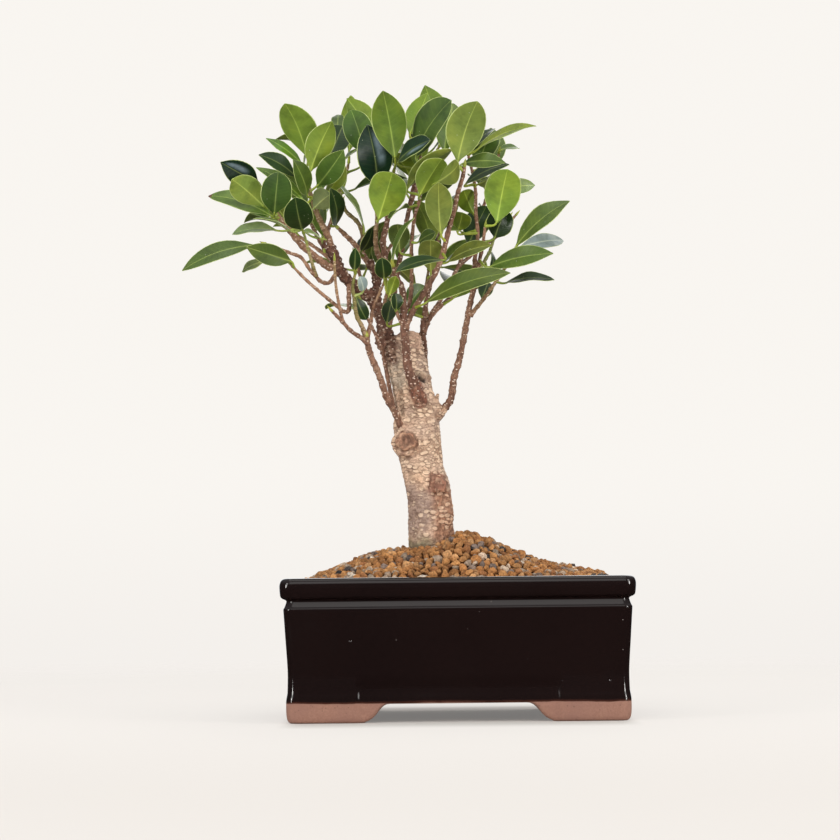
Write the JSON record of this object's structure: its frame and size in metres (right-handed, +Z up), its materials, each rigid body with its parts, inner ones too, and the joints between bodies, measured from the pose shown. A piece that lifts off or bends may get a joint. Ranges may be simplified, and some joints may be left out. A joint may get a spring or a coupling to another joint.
{
  "type": "bonsai tree in pot",
  "caption": "Small broadleaf bonsai with a leaning scarred trunk, standing in a mound of clay granules in a glazed rectangular pot on corner feet.",
  "frame": {"origin": "centre of the whole object's bounding box in plan, on the surface that the pot's feet rest on", "axes": "+X to the right along the pot's long front, +Y to the back, +Z up along the tree"},
  "size_m": [0.2561, 0.155, 0.3791],
  "materials": {
    "glaze": "dark brown-black gloss glaze, with bare reddish clay on the feet",
    "granules": "matt fired clay granules, ochre with some grey, cream and dark grains",
    "bark": "matt grey-beige bark with pale lenticels and rough brown scars",
    "foliage": "glossy green leaves on thin reddish brown twigs",
    "screen": "black plastic net"
  },
  "bodies": {
    "root": {"pot": "glaze", "soil": "granules", "drain_screen_left": "screen", "drain_screen_right": "screen", "trunk": "bark", "branch_right": "foliage", "branch_front": "foliage", "branch_left": "foliage", "branch_thin": "foliage", "branch_long_left": "foliage", "branch_far_left": "foliage", "branch_upper_left": "foliage", "branch_left_top": "foliage", "branch_top": "foliage", "branch_centre": "foliage", "branch_behind_right": "foliage", "branch_back": "foliage", "branch_back_left": "foliage", "branch_back_low": "foliage", "branch_back_right": "foliage"}
  },
  "joints": []
}
